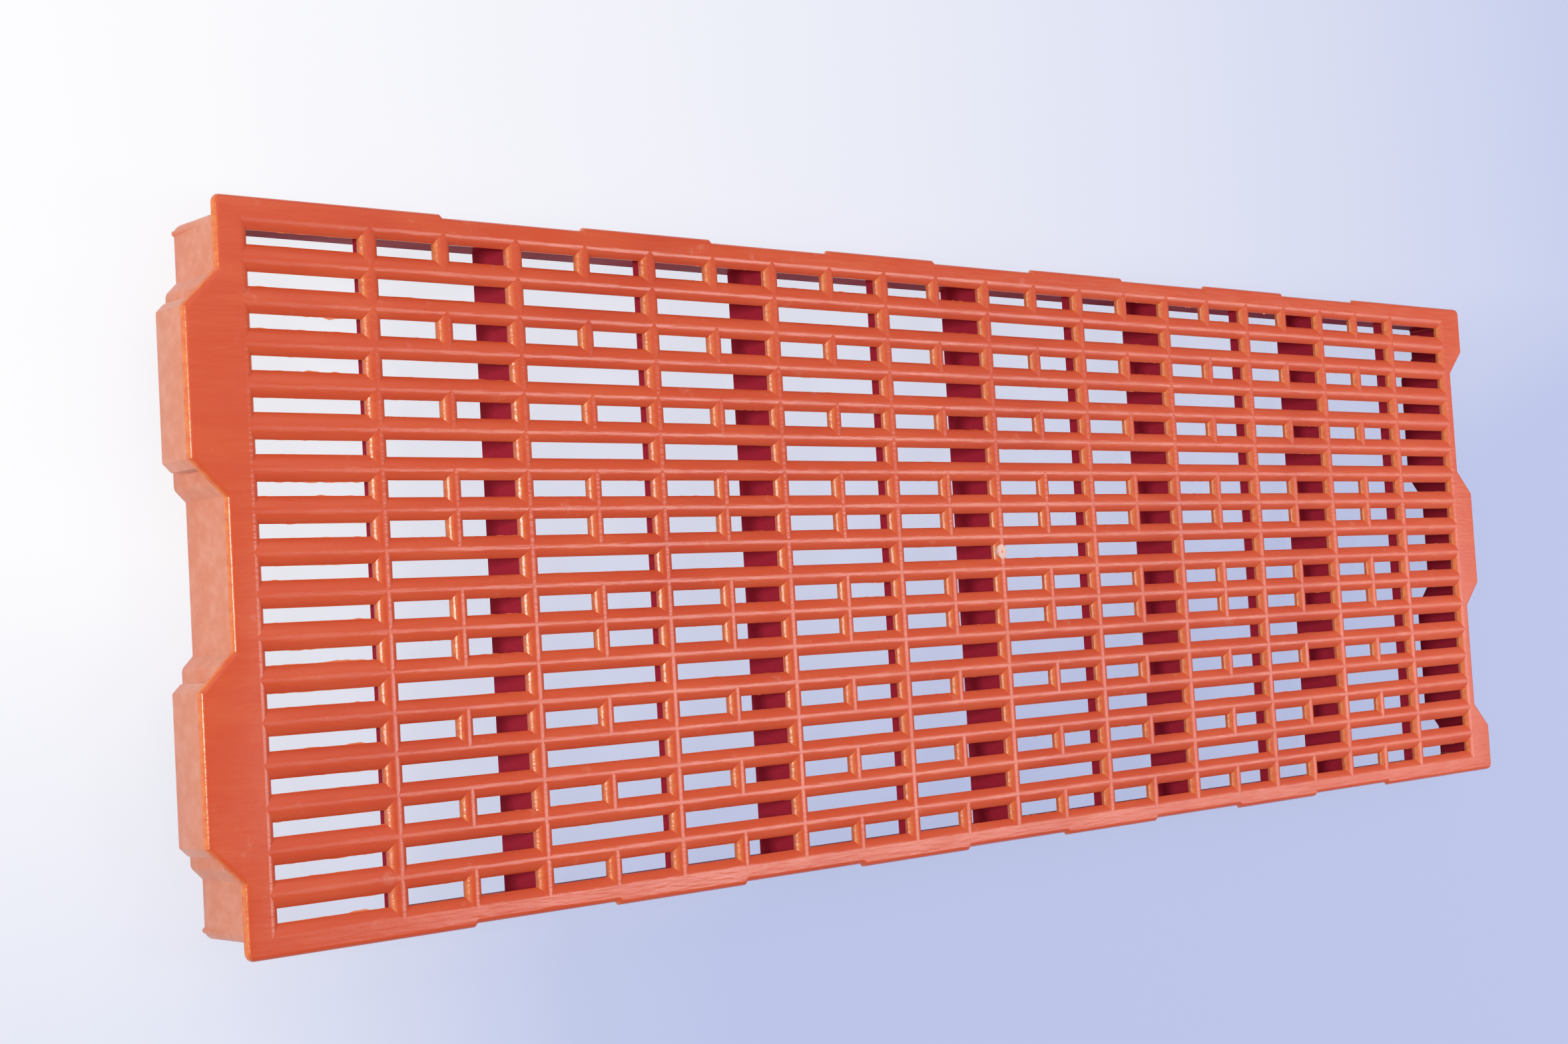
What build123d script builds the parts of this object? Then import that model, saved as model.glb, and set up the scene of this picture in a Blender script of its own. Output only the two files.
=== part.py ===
from build123d import *
import os

# Slatted floor panel for livestock pens, one moulding in polypropylene.
# It lies as it is laid: walking face up, long side along X, short side along Y,
# the standing edge of the skirt on Z = 0. All sizes in millimetres.

# Laying module and the joint between neighbouring panels
MODULE_LENGTH = 1200.0
MODULE_WIDTH = 400.0
PANEL_HEIGHT = 48.0
JOINT_GAP = 2.0             # free gap between two panels at a butting edge
TAB_REACH = 20.1            # tongue tip in front of its own end edge
TAB_END_GAP = 1.2           # free gap in front of a tongue in its notch
TAB_ROOT_NEAR = 40.0        # tongue flank root, distance from the middle line
TAB_ROOT_FAR = 160.0
NOTCH_NEAR_GAP = 1.0        # how much further a notch root lies than its tongue root
NOTCH_FAR_GAP = 2.0

# Rim plate
RIM_THICKNESS = 4.0
RIM_ROUNDING = 3.0
CORNER_RADIUS = 5.0
EDGE_STEP = 2.0             # long edges step back by this between spacer lands

# Slatted deck
DECK_THICKNESS = 5.6
ROWS = 17
ROW_PITCH = 22.3
PLAIN_ROWS = (2, 4, 6, 9, 12, 14, 16)      # rows whose slots have no divider
RIB_PITCH = 99.64
RIBS = 11
MIDDLE_RIB_X = 1.45
END_RIB_SHIFT = 1.7         # first and last rib sit this much further right
RIB_WIDTH = 11.6
DIVIDER_WIDTH = 10.4
SLOT_HEIGHT = 9.4
END_SLOT_HEIGHT = 7.8
END_SLOT_LENGTH = 68.6
CROWN_HEIGHT = 3.2
CREST_LAND = 1.0            # narrow flat along every crest
CROWN_KNEE_DROP = 1.0       # a crown is two flats that meet this far below the crest
CROWN_KNEE_SHARE = 0.56     # and at this share of the way from the land to the slot
SLAT_TAPER = 0.25           # slats are narrower by this per side at the underside

# Skirt, webs and tongue boxes under the deck
SKIRT_SETBACK = 9.3         # long walls stand back under the rim
WALL = 2.7
END_WALL_SETBACK = 0.2
NOTCH_WALL_SETBACK = 0.6
BULGE_REACH = 6.6           # end wall steps forward behind each tongue
BULGE_ROOT = 1.0            # bulge flank root inside the tongue flank root
BULGE_ROUNDING = 5.0
WEB = 3.2
DEEP_WEB_LIFT = 5.0         # underside of the deep webs above the floor
SHALLOW_WEB_DEPTH = 16.5    # depth of the shallow webs below the walking face
TAB_BOX_DEPTH = 31.0        # depth of a tongue box below the walking face
TAB_BOX_CHAMFER = 4.8
TAB_BOX_WALL = 2.5
BEAD_RADIUS = 1.6
BEAD_TOP_RADIUS = 0.3
BEAD_HEIGHT = 28.0
BEAD_SETBACK = 4.7          # bead axis inside the outer face of the long wall

# Values that follow from the ones above
HALF_MODULE = MODULE_LENGTH / 2
TAB_OFFSET = TAB_REACH / 2 - JOINT_GAP / 2
LEFT_EDGE = -HALF_MODULE + TAB_OFFSET + JOINT_GAP
TAB_TIP = LEFT_EDGE - TAB_REACH
RIGHT_EDGE = LEFT_EDGE + MODULE_LENGTH - JOINT_GAP
NOTCH_EDGE = TAB_TIP + MODULE_LENGTH - TAB_END_GAP
HALF_WIDTH = MODULE_WIDTH / 2
SKIRT_Y = HALF_WIDTH - SKIRT_SETBACK
RIM_UNDERSIDE = PANEL_HEIGHT - RIM_THICKNESS
DECK_UNDERSIDE = PANEL_HEIGHT - DECK_THICKNESS
CROWN_FOOT = PANEL_HEIGHT - CROWN_HEIGHT
CROWN_KNEE = PANEL_HEIGHT - CROWN_KNEE_DROP
MIDDLE_RIB = (RIBS + 1) // 2
CUT_MARGIN = 1.0            # how far the slot cutters run past the deck


def rib_x(number):
    """Crest position of a rib, counted from 1 at the tongue end."""
    x = MIDDLE_RIB_X + (number - MIDDLE_RIB) * RIB_PITCH
    if number in (1, RIBS):
        x += END_RIB_SHIFT
    return x


def row_y(number):
    """Middle line of a slot row, counted from 1 at the far long edge."""
    return ((ROWS + 1) / 2 - number) * ROW_PITCH


def divider_x(column):
    """Middle of the divider between ribs column - 1 and column."""
    return MIDDLE_RIB_X + (column - MIDDLE_RIB - 0.5) * RIB_PITCH


def end_profile(edge, tip, near, far):
    """Upper half of an end edge, from the middle line outward, with one tongue or notch."""
    reach = abs(edge - tip)
    return [(edge, near), (tip, near + reach), (tip, far - reach), (edge, far)]


def left_end():
    return end_profile(LEFT_EDGE, TAB_TIP, TAB_ROOT_NEAR, TAB_ROOT_FAR)


def right_end():
    near = TAB_ROOT_NEAR - NOTCH_NEAR_GAP
    far = TAB_ROOT_FAR + NOTCH_FAR_GAP
    return end_profile(RIGHT_EDGE, NOTCH_EDGE, near, far)


def long_edge():
    """Long edge from the left to the right corner, stepping at the divider lines."""
    low = HALF_WIDTH - EDGE_STEP
    points = [(LEFT_EDGE, HALF_WIDTH)]
    level = HALF_WIDTH
    for column in range(2, RIBS + 1):
        other = low if level == HALF_WIDTH else HALF_WIDTH
        x = divider_x(column)
        points += [(x - EDGE_STEP / 2, level), (x + EDGE_STEP / 2, other)]
        level = other
    points.append((RIGHT_EDGE, HALF_WIDTH))
    return points


def mirrored(points):
    return [(x, -y) for x, y in points]


def closed_face(left, top, right):
    """Face from the upper halves of the left end, long edge and right end."""
    upper = left + top + right[::-1]
    lower = mirrored(upper)[::-1]
    return make_face(Polyline(*upper, *lower, close=True))


def corners_at(face, places, reach=0.5):
    """Corners of a face that lie at the given places."""
    return [v for v in face.vertices()
            if any(abs(v.X - x) < reach and abs(abs(v.Y) - y) < reach for x, y in places)]


def rim_plate():
    face = closed_face(left_end(), long_edge(), right_end())
    outer = [(LEFT_EDGE, HALF_WIDTH), (RIGHT_EDGE, HALF_WIDTH)]
    face = fillet(corners_at(face, outer), CORNER_RADIUS)
    plate = Pos(0, 0, RIM_UNDERSIDE) * extrude(face, RIM_THICKNESS)
    rim = plate.faces().sort_by(Axis.Z)[-1].outer_wire().edges()
    return fillet(rim, RIM_ROUNDING)


def skirt_faces():
    """Outer and inner plan of the skirt."""
    left_x = LEFT_EDGE + END_WALL_SETBACK
    near = TAB_ROOT_NEAR + BULGE_ROOT
    far = TAB_ROOT_FAR - BULGE_ROOT
    left = end_profile(left_x, left_x - BULGE_REACH, near, far)
    right = [(x - NOTCH_WALL_SETBACK, y) for x, y in right_end()]
    top = [(left_x, SKIRT_Y), (RIGHT_EDGE - NOTCH_WALL_SETBACK, SKIRT_Y)]
    outer = closed_face(left, top, right)
    outer = fillet(corners_at(outer, left[1:3]), BULGE_ROUNDING)
    outer = fillet(corners_at(outer, top), CORNER_RADIUS)
    inner = offset(outer, amount=-WALL, kind=Kind.INTERSECTION)
    return outer, inner


def knee(land_edge, slot_side):
    """Point where the two flats of a crown meet; all knees of the deck lie at one height."""
    return (land_edge + CROWN_KNEE_SHARE * (slot_side - land_edge), CROWN_KNEE)


def slot_section(low, high, low_flare, high_flare):
    """Cross-section of a slot between two sides, flared up to the crest lands."""
    over = PANEL_HEIGHT + CUT_MARGIN
    under = DECK_UNDERSIDE - CUT_MARGIN
    low_land = low - low_flare
    high_land = high + high_flare
    low_foot = low - SLAT_TAPER
    high_foot = high + SLAT_TAPER
    lower = [(low, CROWN_FOOT), (low_foot, DECK_UNDERSIDE), (low_foot, under),
             (high_foot, under), (high_foot, DECK_UNDERSIDE), (high, CROWN_FOOT)]
    upper = [knee(high_land, high), (high_land, PANEL_HEIGHT), (high_land, over),
             (low_land, over), (low_land, PANEL_HEIGHT), knee(low_land, low)]
    return make_face(Polyline(*lower, *upper, close=True))


def between(low_x, high_x, low_width, high_width):
    """Slot section along X between two cross members of the given widths."""
    low_half = low_width / 2
    high_half = high_width / 2
    land = CREST_LAND / 2
    return slot_section(low_x + low_half, high_x - high_half, low_half - land, high_half - land)


def across_rows(rows, height):
    """Bars along X that carry the slot sections of the given rows."""
    flare = (ROW_PITCH - height - CREST_LAND) / 2
    sections = [Plane.YZ * slot_section(row_y(row) - height / 2, row_y(row) + height / 2, flare, flare)
                for row in rows]
    return [Pos(-HALF_MODULE, 0, 0) * extrude(section, MODULE_LENGTH) for section in sections]


def along_columns(sections):
    """Bars along Y that carry the slot sections of the columns."""
    return [extrude(Plane.XZ * section, HALF_WIDTH, both=True) for section in sections]


def crossing(columns, rows):
    """Slots where column bars and row bars cross; their flares meet in mitres."""
    return [column & row for column in columns for row in rows]


def all_slots():
    full = [between(rib_x(c - 1), rib_x(c), RIB_WIDTH, RIB_WIDTH) for c in range(2, RIBS + 1)]
    halves = []
    for c in range(2, RIBS + 1):
        halves.append(between(rib_x(c - 1), divider_x(c), RIB_WIDTH, DIVIDER_WIDTH))
        halves.append(between(divider_x(c), rib_x(c), DIVIDER_WIDTH, RIB_WIDTH))
    end_reach = END_SLOT_LENGTH + RIB_WIDTH
    ends = [between(rib_x(1) - end_reach, rib_x(1), RIB_WIDTH, RIB_WIDTH),
            between(rib_x(RIBS), rib_x(RIBS) + end_reach, RIB_WIDTH, RIB_WIDTH)]
    split_rows = [r for r in range(1, ROWS + 1) if r not in PLAIN_ROWS]
    slots = crossing(along_columns(full), across_rows(PLAIN_ROWS, SLOT_HEIGHT))
    slots += crossing(along_columns(halves), across_rows(split_rows, SLOT_HEIGHT))
    slots += crossing(along_columns(ends), across_rows(range(1, ROWS + 1), END_SLOT_HEIGHT))
    return slots


def webs():
    """Cross webs under the ribs: deep under every second rib, shallow under the others."""
    parts = []
    length = 2 * (SKIRT_Y - WALL / 2)
    for number in range(1, RIBS + 1):
        deep = number % 2 == 0
        bottom = DEEP_WEB_LIFT if deep else PANEL_HEIGHT - SHALLOW_WEB_DEPTH
        height = DECK_UNDERSIDE - bottom
        web = Box(WEB, length, height, align=(Align.CENTER, Align.CENTER, Align.MIN))
        parts.append(Pos(rib_x(number), 0, bottom) * web)
    return parts


def tab_box(wall_x):
    """Open-bottomed box that backs a tongue, on its own side of the middle line."""
    near = TAB_ROOT_NEAR + TAB_REACH
    far = TAB_ROOT_FAR - TAB_REACH
    c = TAB_BOX_CHAMFER
    plan = [(wall_x, near - c), (TAB_TIP + c, near - c), (TAB_TIP, near),
            (TAB_TIP, far), (TAB_TIP + c, far + c), (wall_x, far + c)]
    outer = make_face(Polyline(*plan, close=True))
    inner = offset(outer, amount=-TAB_BOX_WALL, kind=Kind.INTERSECTION)
    inner += Pos(TAB_BOX_WALL, 0) * inner
    bottom = PANEL_HEIGHT - TAB_BOX_DEPTH
    height = RIM_UNDERSIDE - bottom
    ring = outer - inner
    return Pos(0, 0, bottom) * extrude(ring, height)


def beads():
    """Tapered half-round beads near the ends of the tongue-side wall."""
    bead = Cone(BEAD_RADIUS, BEAD_TOP_RADIUS, BEAD_HEIGHT,
                align=(Align.CENTER, Align.CENTER, Align.MIN))
    x = LEFT_EDGE + END_WALL_SETBACK + BEAD_TOP_RADIUS
    y = SKIRT_Y - BEAD_SETBACK
    return [Pos(x, side * y, 0) * bead for side in (1, -1)]


def floor_panel():
    outer, inner = skirt_faces()
    under = Pos(0, 0, DECK_UNDERSIDE) * extrude(inner, RIM_UNDERSIDE - DECK_UNDERSIDE)
    deck = (rim_plate() + under).cut(*all_slots())
    skirt = extrude(outer - inner, RIM_UNDERSIDE)
    wall_x = LEFT_EDGE + END_WALL_SETBACK - BULGE_REACH
    box = tab_box(wall_x)
    parts = [skirt, box, mirror(box, Plane.XZ)] + webs() + beads()
    return deck.fuse(*parts)


os.makedirs("parts", exist_ok=True)
panel = floor_panel()
export_step(panel, "parts/floor_panel.step")
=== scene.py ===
from math import radians

import bmesh
import bpy
import numpy as np
from bpy.props import FloatProperty, FloatVectorProperty, IntProperty, PointerProperty
from bpy.types import Operator, Panel, PropertyGroup
from mathutils import Matrix, Vector


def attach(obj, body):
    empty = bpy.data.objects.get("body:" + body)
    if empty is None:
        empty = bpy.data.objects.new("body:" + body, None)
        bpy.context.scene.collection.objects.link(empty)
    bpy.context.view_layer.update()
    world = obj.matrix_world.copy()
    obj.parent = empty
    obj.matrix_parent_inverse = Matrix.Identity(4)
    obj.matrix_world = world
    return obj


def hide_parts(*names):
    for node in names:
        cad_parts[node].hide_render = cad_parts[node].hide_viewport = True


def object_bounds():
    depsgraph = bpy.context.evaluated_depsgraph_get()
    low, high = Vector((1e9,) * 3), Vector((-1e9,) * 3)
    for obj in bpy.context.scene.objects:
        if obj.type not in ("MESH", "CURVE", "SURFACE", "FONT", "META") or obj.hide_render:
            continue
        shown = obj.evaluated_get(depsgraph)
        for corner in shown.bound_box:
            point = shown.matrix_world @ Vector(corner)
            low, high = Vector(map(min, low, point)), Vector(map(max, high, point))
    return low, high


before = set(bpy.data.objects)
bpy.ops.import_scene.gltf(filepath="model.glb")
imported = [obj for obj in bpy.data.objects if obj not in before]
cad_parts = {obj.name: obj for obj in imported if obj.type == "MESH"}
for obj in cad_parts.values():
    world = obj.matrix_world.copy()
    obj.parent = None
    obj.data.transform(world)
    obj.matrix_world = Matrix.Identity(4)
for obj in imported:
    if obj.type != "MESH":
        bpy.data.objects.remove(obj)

bl_info = {
    "name": "Slatted floor panel",
    "version": (1, 0, 0),
    "blender": (4, 5, 0),
    "location": "3D View > Sidebar > Floor panel",
    "description": "Dresses the packed solid of a moulded slatted floor panel for livestock pens",
    "category": "Object",
}

NODE = "floor_panel"
PLAIN_ROWS = (2, 4, 6, 9, 12, 14, 16)
CAD_LOW, CAD_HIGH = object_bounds()
TIP_X = CAD_LOW.x
RIGHT_X = CAD_HIGH.x
HALF_WIDTH = CAD_HIGH.y
TOP_Z = CAD_HIGH.z


def linear(text):
    """Linear red, green and blue of an sRGB hex colour."""
    srgb = np.array([int(text[i:i + 2], 16) for i in (1, 3, 5)]) / 255
    return tuple(np.where(srgb <= 0.04045, srgb / 12.92, ((srgb + 0.055) / 1.055) ** 2.4))


def size(name, description, default):
    return FloatProperty(name=name, description=description, default=default, unit="LENGTH", precision=5)


def tint(name, description, default):
    return FloatVectorProperty(name=name, description=description, default=linear(default), size=3,
                               subtype="COLOR", min=0.0, max=1.0)


class DeckSettings(PropertyGroup):
    rows: IntProperty(name="Slot rows", description="Rows of slots across the panel", default=17)
    row_pitch: size("Row pitch", "Distance between the middle lines of two slot rows", 0.0223)
    ribs: IntProperty(name="Ribs", description="Cross ribs along the panel", default=11)
    rib_pitch: size("Rib pitch", "Distance between two rib crests", 0.09964)
    middle_rib: size("Middle rib", "Place of the middle rib crest along the panel", 0.00145)
    end_rib_shift: size("End rib shift", "How much further right the first and last rib sit", 0.0017)
    rib_width: size("Rib width", "Width of a rib between two slots", 0.0116)
    divider_width: size("Divider width", "Width of the short divider in a split slot", 0.0104)
    slot_height: size("Slot height", "Height of the slots between two ribs", 0.0094)
    end_slot_height: size("End slot height", "Height of the slots in the two end columns", 0.0078)
    end_slot_length: size("End slot length", "Length of the slots in the two end columns", 0.0686)
    crown_height: size("Crown height", "Drop from a crest to the edge of a slot", 0.0032)
    crest_land: size("Crest land", "Width of the flat along every crest", 0.0006)
    thickness: size("Deck thickness", "From the crests to the underside of the slats", 0.0056)
    taper: size("Slat taper", "How much narrower a slat is at its underside, per side", 0.00025)
    crown_steps: IntProperty(name="Crown steps", description="Facets across one crown", default=10)


class RimSettings(PropertyGroup):
    thickness: size("Rim thickness", "Thickness of the rim plate", 0.004)
    rounding: size("Rim rounding", "Radius of the rounded outer edge", 0.003)
    corner: size("Corner radius", "Radius of the four outer corners in plan", 0.005)
    edge_step: size("Edge step", "How far the long edges step back between the spacer lands", 0.002)
    tongue_reach: size("Tongue reach", "How far a tongue stands out of its end edge", 0.0201)
    notch_reach: size("Notch depth", "How deep a notch runs into its end edge", 0.0193)
    root_near: size("Tongue root near", "Tongue flank root nearest the middle line", 0.040)
    root_far: size("Tongue root far", "Tongue flank root furthest from the middle line", 0.160)
    near_gap: size("Near gap", "How much further a notch root lies than its tongue root, near side", 0.001)
    far_gap: size("Far gap", "How much further a notch root lies than its tongue root, far side", 0.002)
    flash: size("Parting flash", "Ragged flash left on the parting line of the rim", 0.0003)


class SkirtSettings(PropertyGroup):
    setback: size("Setback", "How far the long walls stand back under the rim", 0.0093)
    wall: size("Wall", "Thickness of the skirt walls", 0.0027)
    end_setback: size("End setback", "How far the tongue-side wall stands back", 0.0002)
    notch_setback: size("Notch setback", "How far the notch-side wall stands back", 0.0006)
    bulge: size("Bulge", "How far the end wall steps forward behind a tongue", 0.0066)
    bulge_root: size("Bulge root", "Bulge flank root inside the tongue flank root", 0.001)
    bulge_rounding: size("Bulge rounding", "Radius of the bulge corners in plan", 0.005)
    draft: size("Draft", "How far the tongue-side wall leans in at its standing edge", 0.001)
    web: size("Web", "Thickness of the cross webs", 0.0032)
    web_lift: size("Web lift", "Underside of the deep webs above the floor", 0.005)
    shallow_web: size("Shallow web", "Depth of the shallow webs below the walking face", 0.0165)
    fillet: size("Fillet", "Fillet where a web meets the deck", 0.0015)
    box_depth: size("Box depth", "Depth of a tongue box below the walking face", 0.031)
    box_chamfer: size("Box chamfer", "Chamfer at the corners of a tongue box", 0.0048)
    box_wall: size("Box wall", "Thickness of a tongue box's walls", 0.0025)
    bead_radius: size("Bead radius", "Radius of a wall bead at the standing edge", 0.0016)
    bead_height: size("Bead height", "Height at which a wall bead fades out", 0.028)
    bead_setback: size("Bead setback", "Bead axis inside the outer face of the long wall", 0.0047)


class FinishSettings(PropertyGroup):
    body: tint("Body", "Orange-red of the moulding", "#D8522C")
    body_light: tint("Light streaks", "Paler flow streaks in the moulding", "#E0643A")
    body_deep: tint("Deep tone", "Deeper tone of the slat flanks", "#C43C22")
    # Painted light: this lighter, yellower orange stands in for light shining through thin flash and for the
    # bright light on the deck faces turned towards -X.
    painted_light_tone: tint("Thin edge", "Yellower orange of thin flash that light shines through", "#EE8A4A")
    # Wear and painted light: this chalky tone marks scuffs, and on the drafted walls it also pales them as
    # painted light.
    scuff_and_sheen: tint("Scuff", "Chalky scuffs where the surface has rubbed", "#EBA58E")
    gate: tint("Gate", "Stress-whitened cut of the gate", "#F2CDC0")
    # Painted shade: this darker crimson stands in for the shade on the webs and inner walls under the deck.
    inner: tint("Inner faces", "Crimson of the webs and inner walls", "#BE3046")
    # Painted light: this pale, chalky tone of the drafted walls stands in for the strong light and whitish
    # reflection on the end walls.
    wall: tint("Drafted walls", "Pale matt tone of the drafted end walls", "#DD8663")
    floor_white: tint("Floor", "Pale floor in the light", "#FDFDFF")
    floor_blue: tint("Floor shade", "Bluish floor away from the light", "#BEC7EA")


def rib_x(deck, numbers):
    """Crest places of ribs, counted from 1 at the tongue end."""
    numbers = np.asarray(numbers)
    ends = (numbers == 1) | (numbers == deck.ribs)
    return deck.middle_rib + (numbers - (deck.ribs + 1) / 2) * deck.rib_pitch + ends * deck.end_rib_shift


def divider_x(deck, columns):
    """Middle of the divider in each column, between ribs column - 1 and column."""
    return deck.middle_rib + (np.asarray(columns) - (deck.ribs + 1) / 2 - 0.5) * deck.rib_pitch


def row_y(deck, numbers):
    """Middle lines of slot rows, counted from 1 at the far long edge."""
    return ((deck.rows + 1) / 2 - np.asarray(numbers)) * deck.row_pitch


def arc_reach(drop, reach, height, slope=radians(3.0)):
    """How far out a crown lies at a given drop: a circle that leaves the crest at a small slope and
    falls by height over reach."""
    end = 2 * np.arctan2(height, reach) - slope
    radius = height / (np.cos(slope) - np.cos(end))
    angle = np.arccos(np.clip(np.cos(slope) - drop / radius, -1, 1))
    return radius * (np.sin(angle) - np.sin(slope))


def crown_drops(deck):
    """Drops below the crest, at even turns along a crown."""
    slope = radians(3.0)
    reach = (deck.row_pitch - deck.slot_height - deck.crest_land) / 2
    end = 2 * np.arctan2(deck.crown_height, reach) - slope
    turns = np.linspace(slope, end, deck.crown_steps + 1)
    return deck.crown_height * (np.cos(slope) - np.cos(turns)) / (np.cos(slope) - np.cos(end))


def cell_table(deck):
    """Rows of (cell x0, x1, y0, y1, slot x0, x1, y0, y1, divider x or nan), one for each slot. A cell
    reaches from crest to crest."""
    columns = np.arange(2, deck.ribs + 1)
    low, high, middle = rib_x(deck, columns - 1), rib_x(deck, columns), divider_x(deck, columns)
    half_rib, half_divider = deck.rib_width / 2, deck.divider_width / 2
    full = np.stack([low, high, low + half_rib, high - half_rib, middle], 1)
    none = np.full(len(columns), np.nan)
    left = np.stack([low, middle, low + half_rib, middle - half_divider, none], 1)
    right = np.stack([middle, high, middle + half_divider, high - half_rib, none], 1)
    reach = deck.end_slot_length + deck.rib_width
    first, last = rib_x(deck, 1), rib_x(deck, deck.ribs)
    ends = np.array([[first - reach, first, first - reach + half_rib, first - half_rib, np.nan],
                     [last, last + reach, last + half_rib, last + reach - half_rib, np.nan]])
    rows = np.arange(1, deck.rows + 1)
    plain = np.isin(rows, PLAIN_ROWS)
    parts = []
    for spans, numbers, height in ((full, rows[plain], deck.slot_height),
                                   (np.vstack([left, right]), rows[~plain], deck.slot_height),
                                   (ends, rows, deck.end_slot_height)):
        y = np.repeat(row_y(deck, numbers), len(spans))
        x = np.tile(spans, (len(numbers), 1))
        half = deck.row_pitch / 2
        parts.append(np.column_stack([x[:, 0], x[:, 1], y - half, y + half, x[:, 2], x[:, 3],
                                      y - height / 2, y + height / 2, x[:, 4]]))
    return np.vstack(parts)


def cell_rings(deck, cells):
    """Loops round each slot: over the crest land, down the mitred crowns, down the slot walls and back
    under the slats to the cell's edge. Shape (cells, levels, 6 or 4 points, 3)."""
    drops = crown_drops(deck)
    land = deck.crest_land / 2
    sides = []
    for edge, opening, sign in ((0, 4, 1), (1, 5, -1), (2, 6, 1), (3, 7, -1)):
        start = cells[:, edge, None]
        reach = np.abs(cells[:, opening, None] - start) - land
        out = arc_reach(drops[None, :], reach, deck.crown_height)
        crown = start + sign * (land + out)
        foot = crown[:, -1:] - sign * deck.taper
        sides.append(np.hstack([start, crown, foot, start]))
    x0, x1, y0, y1 = sides
    z = np.concatenate([[TOP_Z], TOP_Z - drops, [TOP_Z - deck.thickness] * 2])
    z = np.broadcast_to(z, x0.shape)
    if np.isnan(cells[0, 8]):
        corners = [(x0, y0), (x1, y0), (x1, y1), (x0, y1)]
    else:
        middle = np.broadcast_to(cells[:, 8, None], x0.shape)
        corners = [(x0, y0), (middle, y0), (x1, y0), (x1, y1), (middle, y1), (x0, y1)]
    return np.stack([np.stack([x, y, z], -1) for x, y in corners], 2)


def grid_faces(levels, points, first=0, closed=False):
    """Quads of a grid whose rows are closed loops; closed also joins the last row to the first."""
    level = np.arange(levels if closed else levels - 1)[:, None]
    point = np.arange(points)[None, :]
    above = (level + 1) % levels
    beside = (point + 1) % points
    quads = np.stack(np.broadcast_arrays(level * points + point, level * points + beside,
                                         above * points + beside, above * points + point), -1)
    return quads.reshape(-1, 4) + first


class Shape:
    """Vertices and faces gathered as arrays."""

    def __init__(self):
        self.points = []
        self.faces = []
        self.count = 0

    def add(self, points, faces):
        points = np.asarray(points, float).reshape(-1, 3)
        self.points.append(points)
        self.faces += (np.asarray(faces) + self.count).tolist()
        self.count += len(points)

    def add_loops(self, loops, closed=False):
        """A stack of closed loops, shape (levels, points, 3)."""
        levels, points = loops.shape[:2]
        self.add(loops, grid_faces(levels, points, closed=closed))


def unit(vectors):
    return vectors / np.linalg.norm(vectors, axis=-1, keepdims=True)


def turn_signs(corners):
    """1 at a convex corner and -1 at a concave one, for a loop that runs anticlockwise."""
    before = corners - np.roll(corners, 1, 0)
    after = np.roll(corners, -1, 0) - corners
    return np.sign(before[:, 0] * after[:, 1] - before[:, 1] * after[:, 0])


def moved_in(corners, distance):
    """Corners of the loop whose sides lie the distance further in: each corner moves along the
    bisector of its two sides."""
    along = unit(np.roll(corners, -1, 0) - corners)
    inward = np.stack([-along[:, 1], along[:, 0]], 1)
    before = np.roll(inward, 1, 0)
    share = 1 + (inward * before).sum(1, keepdims=True)
    return corners + distance * (inward + before) / share


def rounded(corners, radii, steps):
    """Loop with an arc at each corner, tangent to both sides: points on it turn evenly from one tangent
    point to the other."""
    back = unit(np.roll(corners, 1, 0) - corners)
    ahead = unit(np.roll(corners, -1, 0) - corners)
    opening = np.arccos(np.clip((back * ahead).sum(1), -1, 1))
    centre = corners + unit(back + ahead) * (radii / np.sin(opening / 2))[:, None]
    reach = (radii / np.tan(opening / 2))[:, None]
    start = corners + back * reach - centre
    end = corners + ahead * reach - centre
    turn = (np.pi - opening)[:, None]
    share = np.linspace(0, 1, steps)[None, :]
    first = np.sin((1 - share) * turn) / np.sin(turn)
    second = np.sin(share * turn) / np.sin(turn)
    arc = centre[:, None] + first[..., None] * start[:, None] + second[..., None] * end[:, None]
    return arc.reshape(-1, 2)


def plan_loop(corners, radii, distance, steps, least=0.0001):
    """Rounded loop a distance inside the given corners; convex arcs shrink by it and concave ones grow."""
    radii = np.maximum(radii - turn_signs(corners) * distance, least)
    return rounded(moved_in(corners, distance), radii, steps)


def at_height(loop, z):
    return np.column_stack([loop, np.full(len(loop), z)])


def swept_section(corners, radii, section, steps):
    """A section of (distance in, height) pairs carried round a plan loop."""
    return np.stack([at_height(plan_loop(corners, radii, d, steps), z) for d, z in section])


def end_points(edge, tip, near, far):
    reach = abs(edge - tip)
    return np.array([(edge, near), (tip, near + reach), (tip, far - reach), (edge, far)])


def outline_corners(deck, rim):
    """Plan corners of the rim, anticlockwise from the near corner of the tongue end."""
    left_edge = TIP_X + rim.tongue_reach
    left = end_points(left_edge, TIP_X, rim.root_near, rim.root_far)
    right = end_points(RIGHT_X, RIGHT_X - rim.notch_reach, rim.root_near - rim.near_gap,
                       rim.root_far + rim.far_gap)
    columns = np.arange(2, deck.ribs + 1)
    middle = divider_x(deck, columns)
    half = rim.edge_step / 2
    raised = columns % 2 == 0
    high = np.where(raised, HALF_WIDTH, HALF_WIDTH - rim.edge_step)
    low = np.where(raised, HALF_WIDTH - rim.edge_step, HALF_WIDTH)
    steps = np.stack([np.stack([middle - half, high], 1), np.stack([middle + half, low], 1)], 1)
    steps = steps.reshape(-1, 2)
    mirror = np.array([1, -1])
    return np.vstack([[(left_edge, -HALF_WIDTH)], steps * mirror, [(RIGHT_X, -HALF_WIDTH)],
                      right[::-1] * mirror, right, [(RIGHT_X, HALF_WIDTH)], steps[::-1],
                      [(left_edge, HALF_WIDTH)], left[::-1], left * mirror])


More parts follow.
